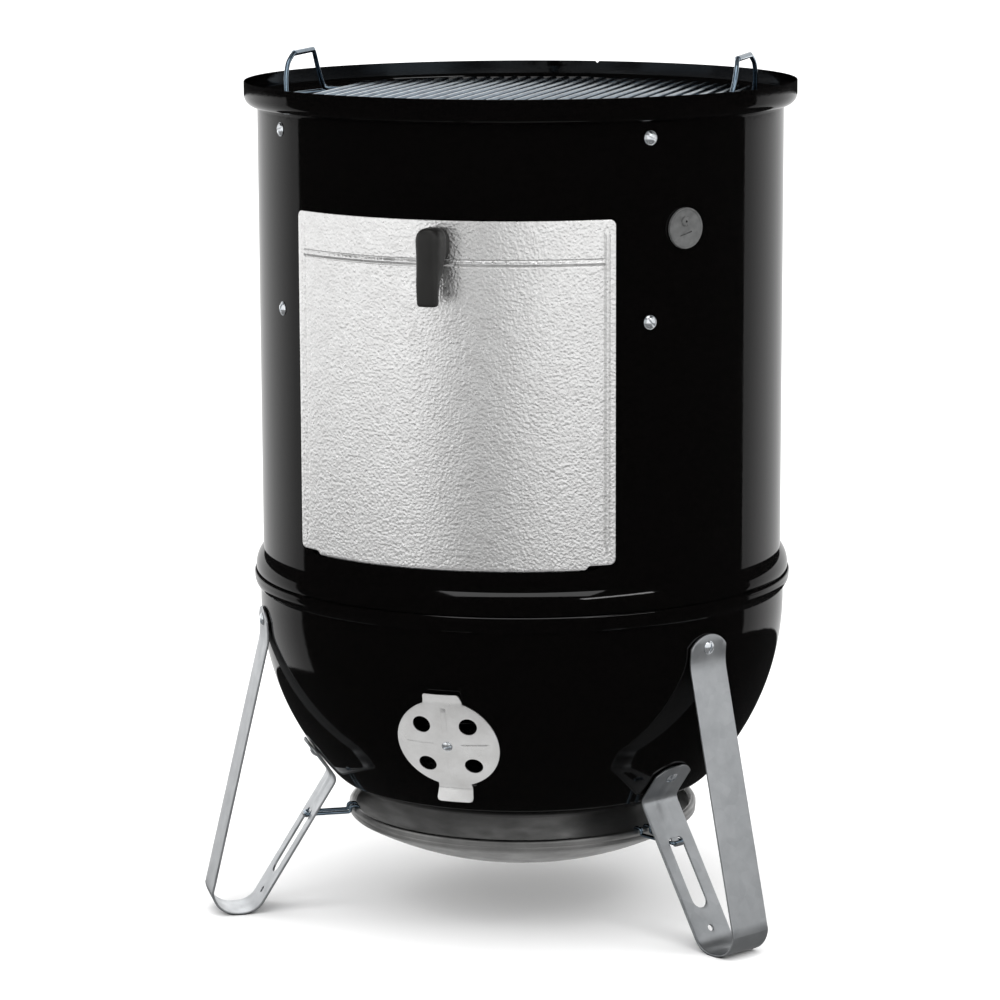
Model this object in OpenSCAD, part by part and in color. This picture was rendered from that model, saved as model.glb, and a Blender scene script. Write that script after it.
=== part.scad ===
// Vertical water smoker without its lid: a charcoal bowl on three bent strap legs, a barrel
// with a curved access door, two cooking grates and a water pan.
// The ground is z = 0 and the door faces -Y. Azimuths run from the door towards +X.

/* [Barrel] */
// Outer diameter of the barrel
barrel_d = 559; // [550:1:565]
// Height of the barrel's rim above the ground
rim_z = 892; // [885:1:900]
// How far the lid cup steps out from the barrel
cup_step = 14; // [13.5:0.5:15]
// Depth of the lid cup below the rim
cup_depth = 26; // [25:1:28]
// Thickness of the enamelled sheet
sheet_t = 1.5; // [1.2:0.1:1.6]

/* [Access door] */
// Width of the door across its two upright edges
door_w = 337; // [330:1:340]
// Height of the door's bottom edge above the ground
door_z = 414.5; // [414:0.5:416]
// Height of the door
door_h = 355.5; // [350:0.5:358]
// Overlap of the door round its opening
door_lap = 11; // [9:1:13]
// Thickness of the door's sheet
door_t = 1; // [0.8:0.1:1.2]
// Height of the latch's axis above the ground
latch_z = 745; // [742:1:748]

/* [Bowl] */
// Outer radius of the bowl's round part
bowl_r = 283; // [282:0.5:284]
// Height of the round part's centre above the ground
bowl_z = 339; // [338:0.5:340]
// Angle at which the round part ends below its centre
shoulder_dip = 42.8; // [42:0.1:44]
// Outer radius of the bowl's lower shoulder
shoulder_r = 44; // [42:1:46]
// Angle at which the shoulder meets the floor of the bowl
floor_dip = 70.1; // [69:0.1:71]

/* [Dampers] */
// Radius of a damper disc
damper_r = 55.5; // [54:0.5:57]
// Angle of the damper's axis below the bowl's centre
damper_dip = 23.7; // [22:0.1:25]
// Diameter of one air hole
air_hole_d = 19; // [17:0.5:20]
// Radius of the circle of air holes
air_circle_r = 35.4; // [34:0.2:36]

/* [Legs] */
// Width of a leg's strap
leg_w = 51; // [48:1:52]
// Thickness of a leg's strap
leg_t = 2.5; // [2:0.1:3]
// Radius of the bend at the foot, to the middle of the strap
foot_bend_r = 27; // [26:0.5:28]
// Length of the flat at the foot
foot_flat = 5; // [4:0.5:6]
// Slope of the inner half of the strap, away from upright
inner_slope = 32; // [31:0.5:33]

/* [Cooking grates] */
// Diameter of a grate's bar
bar_d = 6; // [5:0.5:6.5]
// Spacing of the upper grate's bars
bar_pitch = 14.4; // [14:0.1:15]
// Number of bars on each side of the upper grate's middle bar
bar_pairs = 15; // [10:1:15]
// How far the upper grate is turned from the door
grate_turn = 3; // [0:1:5]

/* [Water pan and fire] */
// Depth of the water pan
pan_depth = 150; // [130:1:160]
// Height of the charcoal ring
ring_h = 124; // [110:1:126]
// Radius of the charcoal ring
ring_r = 222; // [200:1:222]

/* [Hidden] */
$fn = 96;

enamel = "#101012";
steel = "#b9bec2";
zinc = "#cdd2d4";
wire_grey = "#9fb0bf";
aluminium = "#d0d0d0";

gap = 0.3;              // space left between sheets of different bodies
flat_gap = 0.6;         // space left behind a flat piece that lies inside a round sheet
run_fit = 0.05;         // radial clearance of a turning pin

// Barrel
barrel_r = barrel_d / 2;
cup_r = barrel_r + cup_step;
cup_bend_r = 12;
flare_r = 29;
flare_z = 372;          // widest level of the flare
flare_out = 8;
tuck_r = 277.3;         // outer radius of the tail inside the bowl
tuck_z = 350;
screw_az = 45;          // the four grate straps stand at odd multiples of this azimuth
strap_screw_z = [850, 664];
grommet_az = 53.5;
grommet_z = 757;
grommet_r = 21;
port_r = 1.2;
port_rise = 7;
notch_w = 5;

// Bowl
lip_r = 16;
lip_z = 362;
lip_x = 273.3;
bead_r = 2.6;
floor_r = shoulder_r + (bowl_r - shoulder_r) * cos(shoulder_dip) / cos(floor_dip);
shoulder_c = [(bowl_r - shoulder_r) * cos(shoulder_dip), bowl_z - (bowl_r - shoulder_r) * sin(shoulder_dip)];
floor_c = [0, shoulder_c[1] + (floor_r - shoulder_r) * sin(floor_dip)];

// Dampers
damper_az = [0, 120, -120];
damper_t = 1.2;
damper_seat = bowl_r + gap;
damper_top = damper_seat + damper_t;
pivot_r = 3;

// Legs
leg_az = [60, 180, -60];
leg_seat = bowl_r + gap + leg_t / 2;
top_screw_dip = 3.85;
low_screw_dip = 36;
tab_end_r = 31.5;
tab_over = 14;          // strap above its upper screw
top_tab = 18;           // upper screw down to the first bend
low_over = 18;
low_tab = 33;
low_bend = tangent_point(low_screw_dip, leg_seat, low_tab);
toe_z = leg_t / 2 + foot_bend_r;
toe_in_z = toe_z - foot_bend_r * sin(inner_slope);
toe_in_r = low_bend[0] + (low_bend[1] - toe_in_z) * tan(inner_slope);
toe_r = toe_in_r + foot_bend_r * cos(inner_slope);
crease_dip = 5;
leg_path = concat(
    [tangent_point(top_screw_dip, leg_seat, -tab_over), tangent_point(top_screw_dip, leg_seat, top_tab)],
    arc([toe_r + foot_flat, toe_z], foot_bend_r, -crease_dip, -90, 7),
    arc([toe_r, toe_z], foot_bend_r, -90, -180 + inner_slope, 5),
    [low_bend, tangent_point(low_screw_dip, leg_seat, -low_over)]
);
leg_reach = toe_r + foot_flat + foot_bend_r * cos(crease_dip) + leg_t / 2;
slot_w = 20;
slot_span = [45, 124];  // along the inner strap, from its upper bend
leg_hole_at = 147;
leg_hole_r = 3.5;
tongue_at = 41;
tongue_length = 11;
tongue_w = 9;
tongue_t = 1.6;

// Latch
lever_front = 320;
lever_t = 14;
lever_w = 27;
lever_tip_w = 20;
lever_top = 18;
lever_drop = 58;
neck_r = 12;
spindle_r = 4;
cam_y = 275.5;
cam_t = 2;
cam_w = 16;
cam_up = 21;

// The footprint's middle, not the barrel's axis, is the origin: the rear leg reaches further
// back than the latch lever reaches forward.
axis_y = (lever_front - leg_reach) / 2;

// Door
door_r = barrel_r + 1.7;
door_mid_z = door_z + door_h / 2;
opening_w = door_w - 2 * door_lap;
opening_top = door_z + door_h - 13;
sill_z = door_z - 1.3;
corner_drop = 4;
step_w = 304;
hang_w = 280;
hang_z = 405;
hang_r = 276.2;
rib_h = 1.2;
rib_r = 2.2;
crease_z = 725.5;
side_rib_az = 34.6;

// Screws
screw_r = 3;
head_r = 7.2;
head_h = 3.2;
damper_head_r = 5.6;
nut_r = 5.8;
nut_h = 5;
bowl_nut_seat = bowl_r - sheet_t - flat_gap - nut_h;
bolt_clear = 0.1;

// Grates and pan
strap_w = 20;
strap_r = 277.6;
strap_t = 2;
strap_ledges = [[864, 262], [682, 250], [648, 244]];   // height and reach of each ledge
strap_foot_z = 638;
wire_d = 7;
bend_over = 0.2;        // share of its diameter that a wire runs past a bend
grate_lift = 0.2;
top_ring_r = 269.5;
top_ring_z = strap_ledges[0][0] + grate_lift + wire_d / 2;
top_bar_z = top_ring_z + 5.5;
low_ring_r = 257.5;
low_ring_z = strap_ledges[1][0] + grate_lift + wire_d / 2;
low_bar_z = low_ring_z + 5.5;
low_pitch = 20;
low_pairs = 12;
cross_at = 95;
handle_d = 5;
handle_r = 241;
handle_top_z = 918;
handle_in = bar_pairs * bar_pitch + bar_d / 2 + handle_d * bend_over;
handle_path = [
    [handle_in, 68, top_bar_z], [handle_r, 68, top_bar_z], [handle_r, 40, handle_top_z],
    [handle_r, -40, handle_top_z], [handle_r, -68, top_bar_z], [handle_in, -68, top_bar_z]
];
pan_t = 1.2;
pan_rim_r = 249;
pan_rim_z = strap_ledges[2][0] + grate_lift + pan_t / 2;
pan_wall_r = 242;
pan_foot_r = 205;

// Fire
bracket_t = 2;
bracket_w = 25;
bracket_r = bowl_r - sheet_t - flat_gap - bracket_t / 2;
bracket_dip = 14.8;
bracket_in = 232;
bracket_z = bowl_z - bracket_r * sin(bracket_dip) + bracket_t / 2;
fire_ring_r = 236;
fire_wire_d = 8;
fire_ring_z = bracket_z + grate_lift + fire_wire_d / 2;
fire_bar_d = 7;
fire_bar_z = fire_ring_z + 6.5;
fire_pitch = 24;
fire_pairs = 9;
ring_z = fire_bar_z + fire_bar_d / 2 + grate_lift;
ring_t = 1.2;
ring_rows = 3;
ring_holes = 24;
ring_hole_r = 8;

// Heat shield
shield_r = 190;
shield_z = 104;
shield_t = 1;
shield_wall = 8;
shield_depth = 50;
shield_ball_r = (shield_r * shield_r + shield_depth * shield_depth) / (2 * shield_depth);
shield_bead_r = 2.2;
hook_d = 4;
hook_w = 7;             // half the width of a hook's loop
tongue_r = hook_d / 2 + tongue_t / 2 + gap;
hook_out = low_bend[0] + (tongue_at + tongue_length) * sin(inner_slope) + tongue_r * cos(inner_slope);
hook_z = low_bend[1] - (tongue_at + tongue_length) * cos(inner_slope) + tongue_r * sin(inner_slope);

// Points along an arc, from angle a0 to a1
function arc(c, r, a0, a1, n) = [for (i = [0:n]) let (a = a0 + (a1 - a0) * i / n) c + r * [cos(a), sin(a)]];
function unit(v) = v / norm(v);
// Direction that halves the corner at point i of a path
function mitre(p, i) = let (
    a = unit(i == 0 ? p[1] - p[0] : p[i] - p[i - 1]),
    b = unit(i == len(p) - 1 ? a : p[i + 1] - p[i]),
    m = unit(a + b)
) [-m[1], m[0]] / (m * b);
// Outline of a bent sheet, from the path of its middle surface
function ribbon(p, t) = concat(
    [for (i = [0:len(p) - 1]) p[i] + mitre(p, i) * t / 2],
    [for (i = [len(p) - 1:-1:0]) p[i] - mitre(p, i) * t / 2]
);
// Point on the plane that touches the sphere of radius r at the given dip, s further down
function tangent_point(dip, r, s) = [r * cos(dip) - s * sin(dip), bowl_z - r * sin(dip) - s * cos(dip)];

module at_azimuth(a) rotate([0, 0, a - 90]) children();

// Local +Z points out of the bowl and local +X points down it
module on_bowl(az, dip) translate([0, 0, bowl_z]) at_azimuth(az) rotate([0, 90 + dip, 0]) children();

// Local +Z points out of the barrel and local +X points down it
module on_barrel(az, z) translate([0, 0, z]) at_azimuth(az) rotate([0, 90, 0]) children();

// Sheet turned about the axis; its outline is kept on one side of it
module lathe(path, t) rotate_extrude() polygon([for (p = ribbon(path, t)) [max(p[0], 0), p[1]]]);

module bent_strap(path, t, w) rotate([90, 0, 0]) linear_extrude(w, center = true) polygon(ribbon(path, t));

// A rod between two points
module rod(p, q, d) {
    v = q - p;
    translate(p) rotate([0, acos(v[2] / norm(v)), atan2(v[1], v[0])]) cylinder(d = d, h = norm(v));
}

// A bent wire: straight rods that run a little past each bend
module wire_path(path, d) for (i = [0:len(path) - 2]) {
    over = unit(path[i + 1] - path[i]) * d * bend_over;
    rod(path[i] - over, path[i + 1] + over, d);
}

module rounded_rect(w, h, r) {
    square([w - 2 * r, h], center = true);
    square([w, h - 2 * r], center = true);
    for (x = [-1, 1], y = [-1, 1]) translate([x * (w / 2 - r), y * (h / 2 - r)]) circle(r);
}

// A flat outline pushed through the front of the barrel
module through_front(z) translate([0, 0, z]) rotate([90, 0, 0]) linear_extrude(300) children();

// Domed head with a slot, its seat at z = 0, and a shank below it
module slotted_screw(head, shank) {
    ball = (head * head + head_h * head_h) / (2 * head_h);
    difference() {
        intersection() {
            translate([0, 0, head_h - ball]) sphere(ball);
            cylinder(r = head, h = head_h);
        }
        translate([-0.7, -head, head_h - 1.3]) cube([1.4, 2 * head, 2]);
    }
    translate([0, 0, -shank]) cylinder(r = screw_r, h = shank + 0.5);
}

module nut() difference() {
    cylinder(r = nut_r, h = nut_h, $fn = 6);
    translate([0, 0, -1]) cylinder(r = screw_r + bolt_clear, h = nut_h + 2);
}

module bolt_hole() cylinder(r = screw_r + bolt_clear, h = 40, center = true);

// ---- Bowl and what is fixed to it ----

module bowl_shell() {
    h = sheet_t / 2;
    lathe(concat(
        arc([lip_x, lip_z], lip_r - h, 12, -57, 7),
        arc([0, bowl_z], bowl_r - h, 0, -shoulder_dip, 12),
        arc(shoulder_c, shoulder_r - h, -shoulder_dip - 7, -floor_dip, 3),
        arc(floor_c, floor_r - h, -floor_dip - 5, -90, 4)
    ), sheet_t);
    rotate_extrude() translate([lip_x + lip_r - bead_r, lip_z + 3.4]) circle(bead_r);
}

module bowl() color(enamel) difference() {
    bowl_shell();
    for (az = damper_az) on_bowl(az, damper_dip) {
        translate([0, 0, bowl_r]) bolt_hole();
        air_holes();
    }
    for (az = leg_az, dip = [top_screw_dip, low_screw_dip]) on_bowl(az, dip) translate([0, 0, bowl_r]) bolt_hole();
}

module air_holes() for (a = [45:90:315]) rotate([0, 0, a])
    translate([air_circle_r, 0, bowl_r - 20]) cylinder(d = air_hole_d, h = 40);

module damper(az) color(aluminium) on_bowl(az, damper_dip) difference() {
    union() {
        intersection() {
            difference() {
                sphere(damper_top);
                sphere(damper_seat);
            }
            union() {
                cylinder(r = damper_r, h = 2 * bowl_r);
                translate([0, -18, 0]) cube([59, 36, 2 * bowl_r]);
            }
        }
        damper_tab(-1, 52.5, 36, 12);
        damper_tab(1, 58, 39, 13);
    }
    cylinder(r = pivot_r + run_fit, h = 2 * bowl_r);
    air_holes();
}

// A tab bent out of the disc, at distance x from its middle
module damper_tab(side, x, w, length) {
    seat = sqrt(damper_top * damper_top - x * x);
    translate([side * x, 0, seat]) rotate([0, -side * 38, 0])
        translate([side > 0 ? -1 : 1 - length, -w / 2, -damper_t]) cube([length, w, damper_t]);
}

module damper_screws() color(zinc) for (az = damper_az) on_bowl(az, damper_dip)
    translate([0, 0, damper_top + 0.1]) slotted_screw(damper_head_r, 12);

module damper_nuts() color(zinc) for (az = damper_az) on_bowl(az, damper_dip)
    translate([0, 0, bowl_nut_seat]) nut();

module leg(az) color(steel) {
    difference() {
        at_azimuth(az) bent_strap(leg_path, leg_t, leg_w);
        for (dip = [top_screw_dip, low_screw_dip]) on_bowl(az, dip) translate([0, 0, bowl_r]) bolt_hole();
        tab_corners(az, top_screw_dip, tab_over);
        tab_corners(az, low_screw_dip, low_over);
        on_inner_strap(az, 0) strap_cuts();
    }
    on_inner_strap(az, tongue_at) curled_tongue();
}

// The long slot and the small hole in the inner half of the strap
module strap_cuts() {
    span = slot_span[1] - slot_span[0] - slot_w / 2;
    translate([-5, -slot_w / 2, slot_span[0]]) cube([10, slot_w, span]);
    translate([0, 0, slot_span[0] + span]) rotate([0, 90, 0]) cylinder(d = slot_w, h = 10, center = true);
    translate([0, 0, leg_hole_at]) rotate([0, 90, 0]) cylinder(r = leg_hole_r, h = 10, center = true);
}

// Local +Z runs down the inner half of the strap and local +X points out of its lower face
module on_inner_strap(az, at) at_azimuth(az) translate([low_bend[0], 0, low_bend[1]])
    rotate([0, 180 - inner_slope, 0]) translate([0, 0, at]) children();

// What is cut off to round the end of a strap
module tab_corners(az, dip, over) on_bowl(az, dip) difference() {
    translate([-over - 2, -leg_w, bowl_r - 5]) cube([over + 2, 2 * leg_w, 15]);
    translate([tab_end_r - over, 0, bowl_r - 6]) cylinder(r = tab_end_r, h = 17);
}

// The tongue at the top of the slot, curled outwards round a heat shield hook
module curled_tongue() {
    path = concat([[0, 0]], arc([tongue_r, tongue_length], tongue_r, 180, 20, 6));
    rotate([90, 0, 0]) linear_extrude(tongue_w, center = true)
        polygon(ribbon([for (p = path) [-p[0], p[1]]], tongue_t));
}

module leg_screws() color(zinc) for (az = leg_az, dip = [top_screw_dip, low_screw_dip])
    on_bowl(az, dip) translate([0, 0, leg_seat + leg_t / 2]) slotted_screw(head_r, 14);

module leg_nuts() color(zinc) for (az = leg_az) {
    on_bowl(az, top_screw_dip) translate([0, 0, bracket_r - bracket_t / 2 - nut_h - gap]) nut();
    on_bowl(az, low_screw_dip) translate([0, 0, bowl_nut_seat]) nut();
}

// The bracket inside the bowl that carries the charcoal grate
module charcoal_bracket(az) color(steel) difference() {
    at_azimuth(az) bent_strap(concat(
        arc([0, bowl_z], bracket_r, 0, -bracket_dip, 4),
        [[bracket_in, bracket_z - bracket_t / 2]]
    ), bracket_t, bracket_w);
    on_bowl(az, top_screw_dip) translate([0, 0, bowl_r]) bolt_hole();
}

module heat_shield() color(aluminium) {
    lathe(concat(
        [[shield_r - shield_t / 2, shield_z]],
        arc([0, shield_z - shield_wall - shield_depth + shield_ball_r], shield_ball_r - shield_t / 2,
            -acos((shield_r - shield_t) / shield_ball_r), -90, 9)
    ), shield_t);
    rotate_extrude() translate([shield_r - shield_bead_r, shield_z]) circle(shield_bead_r);
}

// One wire loop from a leg's tongue, up and over the shield's rim
module shield_hook() {
    over = shield_z + shield_bead_r + hook_d / 2 + 1;
    rim_out = shield_r + hook_d / 2 + 1;
    rim_in = shield_r - 2 * shield_bead_r - hook_d / 2 - 1;
    path = [
        [rim_in, over - 8], [rim_in, over], [rim_out, over], [rim_out, hook_z], [hook_out, hook_z]
    ];
    for (side = [-1, 1]) wire_path([for (p = path) [p[0], side * hook_w, p[1]]], hook_d);
    wire_path([[hook_out, -hook_w, hook_z], [hook_out, hook_w, hook_z]], hook_d);
}

module heat_shield_hooks() color(steel) for (az = leg_az) at_azimuth(az) shield_hook();

// ---- Fire ----

module round_grate(ring_r, ring_z, wire, bar, bar_z, pitch, pairs) {
    rotate_extrude() translate([ring_r, ring_z]) circle(d = wire);
    for (i = [-pairs:pairs]) {
        x = i * pitch;
        half = sqrt(ring_r * ring_r - x * x) - 1;
        rod([x, -half, bar_z], [x, half, bar_z], bar);
    }
    for (y = [-cross_at, cross_at]) {
        half = sqrt(ring_r * ring_r - y * y);
        rod([-half, y, ring_z], [half, y, ring_z], bar);
    }
}

module charcoal_grate() color(steel)
    round_grate(fire_ring_r, fire_ring_z, fire_wire_d, fire_bar_d, fire_bar_z, fire_pitch, fire_pairs);

module charcoal_ring() color(steel) difference() {
    translate([0, 0, ring_z]) difference() {
        cylinder(r = ring_r, h = ring_h);
        translate([0, 0, -1]) cylinder(r = ring_r - ring_t, h = ring_h + 2);
    }
    for (row = [0:ring_rows - 1], i = [0:ring_holes - 1])
        translate([0, 0, ring_z + ring_h * (row + 0.5) / ring_rows])
            rotate([0, 90, (i + row / 2) * 360 / ring_holes])
                translate([0, 0, ring_r - 10]) cylinder(r = ring_hole_r, h = 20, $fn = 24);
}

// ---- Barrel and what is fixed to it ----

module barrel() color(enamel) difference() {
    h = sheet_t / 2;
    flare_start = acos((flare_r - flare_out - h) / (flare_r - h));
    lathe(concat(
        [[cup_r - h, rim_z]],
        arc([cup_r - cup_bend_r, rim_z - cup_depth + cup_bend_r], cup_bend_r - h, 0, -90, 6),
        [[barrel_r - h, rim_z - cup_depth + h]],
        arc([barrel_r + flare_out - flare_r, flare_z], flare_r - h, flare_start, 0, 5),
        [[barrel_r + flare_out - h, flare_z - 2.5], [tuck_r - h, flare_z - 2.5], [tuck_r - h, tuck_z]]
    ), sheet_t);
    translate([0, 0, (opening_top + sill_z) / 2]) rotate([90, 0, 0]) linear_extrude(300)
        rounded_rect(opening_w, opening_top - sill_z, 10);
    for (i = [0:3], z = strap_screw_z) on_barrel(screw_az + 90 * i, z) translate([0, 0, barrel_r]) bolt_hole();
    on_barrel(grommet_az, grommet_z) translate([0, 0, barrel_r]) cylinder(r = grommet_r - 5, h = 20, center = true);
    translate([0, cup_r, rim_z]) rotate([0, 45, 0]) cube([notch_w / sqrt(2), 10, notch_w / sqrt(2)], center = true);
}

module probe_grommet() color("#7d7f80") on_barrel(grommet_az, grommet_z) difference() {
    union() {
        translate([0, 0, barrel_r + 0.6]) cylinder(r = grommet_r, h = 2.4);
        translate([0, 0, barrel_r + 0.6]) difference() {
            cylinder(r = grommet_r, h = 3.6);
            cylinder(r = grommet_r - 2.2, h = 4);
        }
        translate([0, 0, barrel_r - 5]) cylinder(r = grommet_r - 5.3, h = 7);
        translate([0, 0, barrel_r - 5]) cylinder(r = grommet_r - 3, h = 2.5);
        translate([-port_rise, 0, barrel_r]) cylinder(r = 4.6, h = 5);
    }
    translate([-port_rise, 0, barrel_r - 10]) cylinder(r = port_r, h = 20);
    translate([5, 0, barrel_r + 2.4]) rotate([0, 0, 20]) cube([1.2, 14, 2.6], center = true);
}

module grate_strap(i) color(steel) at_azimuth(screw_az + 90 * i) difference() {
    union() {
        translate([strap_r - strap_t, -strap_w / 2, strap_foot_z])
            cube([strap_t, strap_w, strap_ledges[0][0] - strap_foot_z]);
        for (ledge = strap_ledges) translate([ledge[1], -strap_w / 2, ledge[0] - strap_t])
            cube([strap_r - ledge[1], strap_w, strap_t]);
    }
    for (z = strap_screw_z) translate([barrel_r, 0, z]) rotate([0, 90, 0]) bolt_hole();
}

module strap_screws() color(zinc) for (i = [0:3], z = strap_screw_z)
    on_barrel(screw_az + 90 * i, z) translate([0, 0, barrel_r + 0.1]) slotted_screw(head_r, 10);

module strap_nuts() color(zinc) for (i = [0:3], z = strap_screw_z)
    on_barrel(screw_az + 90 * i, z) translate([0, 0, strap_r - strap_t - nut_h - gap]) nut();

// ---- Door and latch ----

module access_door() color(aluminium) difference() {
    union() {
        intersection() {
            curved_sheet(door_r, door_t);
            union() {
                through_front(door_mid_z + corner_drop / 2) rounded_rect(door_w, door_h - corner_drop, 5);
                through_front(door_z + 10) square([step_w, 20], center = true);
            }
        }
        hanging_lip();
        door_ribs();
    }
    translate([0, 0, latch_z]) rotate([90, 0, 0]) cylinder(r = spindle_r + run_fit, h = 400);
}

// A tube wall of the given outer radius, as tall as the door
module curved_sheet(r, t) translate([0, 0, hang_z]) difference() {
    cylinder(r = r, h = 400);
    translate([0, 0, -1]) cylinder(r = r - t, h = 402);
}

// The lip that goes through the opening and hangs behind its sill
module hanging_lip() intersection() {
    union() {
        translate([0, 0, door_z]) difference() {
            cylinder(r = door_r - door_t / 2, h = door_t);
            translate([0, 0, -1]) cylinder(r = hang_r - door_t, h = door_t + 2);
        }
        translate([0, 0, hang_z]) difference() {
            cylinder(r = hang_r, h = door_z - hang_z + door_t);
            translate([0, 0, -1]) cylinder(r = hang_r - door_t, h = 20);
        }
    }
    through_front(door_z) square([hang_w, 40], center = true);
}

module door_ribs() {
    intersection() {
        rotate_extrude() translate([door_r + rib_h - rib_r, crease_z]) circle(rib_r);
        difference() {
            through_front(crease_z) square([door_w - 22, 10], center = true);
            cylinder(r = door_r - door_t / 2, h = rim_z);
        }
    }
    for (side = [-1, 1]) at_azimuth(side * side_rib_az)
        translate([door_r, 0, door_z + 26]) cylinder(r = rib_h, h = door_h - 40);
}

module latch_lever() color("#2b2b2d") difference() {
    union() {
        translate([0, -door_r - gap, latch_z]) rotate([90, 0, 0]) cylinder(r = neck_r, h = 30);
        hull() {
            translate([0, lever_t - lever_front, latch_z + lever_top - lever_w / 2]) rotate([90, 0, 0])
                cylinder(d = lever_w, h = lever_t - 3, $fn = 32);
            translate([0, lever_t - 1 - lever_front, latch_z + lever_top - lever_w / 2]) rotate([90, 0, 0])
                cylinder(d = lever_w - 6, h = lever_t - 1, $fn = 32);
            for (side = [-1, 1]) translate([side * (lever_tip_w / 2 - 3), lever_t - lever_front, latch_z - lever_drop + 3])
                rotate([90, 0, 0]) cylinder(r = 3, h = lever_t - 2, $fn = 32);
        }
    }
    translate([0, -door_r - 12, latch_z]) rotate([-90, 0, 0]) cylinder(r = spindle_r + bolt_clear, h = 20);
}

module latch_spindle() color(zinc) difference() {
    translate([0, -door_r - 11, latch_z]) rotate([-90, 0, 0]) cylinder(r = spindle_r, h = door_r + 11 - cam_y);
    translate([0, -cam_y - 8, latch_z]) rotate([-90, 0, 0]) cylinder(r = 2, h = 20);
}

module latch_cam() color(zinc) difference() {
    translate([0, -cam_y, latch_z]) rotate([-90, 0, 0]) linear_extrude(cam_t) {
        circle(d = cam_w);
        translate([-cam_w / 2, -cam_up]) square([cam_w, cam_up]);
    }
    translate([0, -cam_y - 5, latch_z]) rotate([-90, 0, 0]) cylinder(r = 2, h = 20);
}

module latch_screw() color(zinc) {
    translate([0, cam_t - cam_y, latch_z]) rotate([-90, 0, 0]) cylinder(r = 4.5, h = 2.5);
    translate([0, -cam_y - 7, latch_z]) rotate([-90, 0, 0]) cylinder(r = 1.9, h = cam_t + 7.5);
}

// ---- What lifts out of the barrel ----

module water_pan() color(enamel) lathe(concat(
    [[pan_rim_r, pan_rim_z + 3], [pan_rim_r - 1, pan_rim_z], [pan_wall_r, pan_rim_z]],
    arc([pan_foot_r, pan_rim_z - pan_depth + 22], 22, -8, -90, 5),
    [[0, pan_rim_z - pan_depth]]
), pan_t);

module lower_grate() color(wire_grey)
    round_grate(low_ring_r, low_ring_z, wire_d, bar_d, low_bar_z, low_pitch, low_pairs);

module top_grate() color(wire_grey) rotate([0, 0, grate_turn])
    round_grate(top_ring_r, top_ring_z, wire_d, bar_d, top_bar_z, bar_pitch, bar_pairs);

module top_grate_handle(side) color(wire_grey) rotate([0, 0, grate_turn])
    wire_path([for (p = handle_path) [side * p[0], p[1], p[2]]], handle_d);

module place() translate([0, axis_y, 0]) children();

place() bowl();
place() damper(damper_az[0]);  // damper_front
place() damper(damper_az[1]);  // damper_right
place() damper(damper_az[2]);  // damper_left
place() damper_screws();
place() damper_nuts();
place() leg(leg_az[0]);  // leg_right
place() leg(leg_az[1]);  // leg_rear
place() leg(leg_az[2]);  // leg_left
place() leg_screws();
place() leg_nuts();
place() charcoal_bracket(leg_az[0]);  // charcoal_bracket_right
place() charcoal_bracket(leg_az[1]);  // charcoal_bracket_rear
place() charcoal_bracket(leg_az[2]);  // charcoal_bracket_left
place() heat_shield();
place() heat_shield_hooks();
place() charcoal_grate();
place() charcoal_ring();
place() barrel();
place() probe_grommet();
place() grate_strap(0);  // grate_strap_1
place() grate_strap(1);  // grate_strap_2
place() grate_strap(2);  // grate_strap_3
place() grate_strap(3);  // grate_strap_4
place() strap_screws();
place() strap_nuts();
place() access_door();
place() latch_lever();
place() latch_spindle();
place() latch_cam();
place() latch_screw();
place() water_pan();
place() lower_grate();
place() top_grate();
place() top_grate_handle(-1);  // top_grate_handle_left
place() top_grate_handle(1);  // top_grate_handle_right
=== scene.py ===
"""Looks of the vertical water smoker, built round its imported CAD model.

Lengths are in millimetres in the smoker's own frame: the barrel's axis is r = 0 and the ground is z = 0.
Azimuths run from the door, which faces -Y, towards +X. put() turns them into metres in the row frame.
"""

import math

import bmesh
import bpy
from mathutils import Matrix, Vector


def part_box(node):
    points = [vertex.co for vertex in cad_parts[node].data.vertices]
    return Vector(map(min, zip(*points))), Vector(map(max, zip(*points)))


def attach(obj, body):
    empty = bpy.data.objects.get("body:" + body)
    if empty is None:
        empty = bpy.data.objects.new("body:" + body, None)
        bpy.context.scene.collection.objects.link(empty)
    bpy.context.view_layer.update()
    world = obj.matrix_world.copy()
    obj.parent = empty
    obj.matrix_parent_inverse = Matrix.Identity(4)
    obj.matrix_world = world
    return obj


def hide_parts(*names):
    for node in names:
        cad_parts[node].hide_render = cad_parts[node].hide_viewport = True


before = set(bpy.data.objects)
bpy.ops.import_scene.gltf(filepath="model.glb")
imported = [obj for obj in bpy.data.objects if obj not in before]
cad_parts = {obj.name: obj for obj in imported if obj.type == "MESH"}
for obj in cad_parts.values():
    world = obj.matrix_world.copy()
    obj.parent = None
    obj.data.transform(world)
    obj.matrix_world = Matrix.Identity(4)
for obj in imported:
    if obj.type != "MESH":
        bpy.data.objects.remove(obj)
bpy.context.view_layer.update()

low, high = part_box("bowl")
AXIS_Y = (low.y + high.y) / 2 * 1000

RIM_Z = 892
BARREL_R = 279.5
CUP_R = 293.5
BOWL_R = 283
BOWL_Z = 339
SHEET = 1.5
CUP_DEPTH = 26
FLARE_OUT = 8
AIR_HOLE_R = 9.5
STRAP_SCREW_Z = (850, 664)
LEG_SCREW_DIPS = (3.85, 36)
LEG_AZIMUTHS = {"leg_right": 60, "leg_rear": 180, "leg_left": -60}
DAMPER_AZIMUTHS = {"damper_front": 0, "damper_right": 120, "damper_left": -120}
DAMPER_DIP = 23.7
NOT_ENAMEL = bpy.data.collections.new("not_enamel")
ALUMINIUM = bpy.data.collections.new("aluminium")
STRAP_AZIMUTHS = (45, 135, 225, 315)


# ---------------------------------------------------------------- geometry

def cosd(a):
    return math.cos(math.radians(a))


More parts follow.
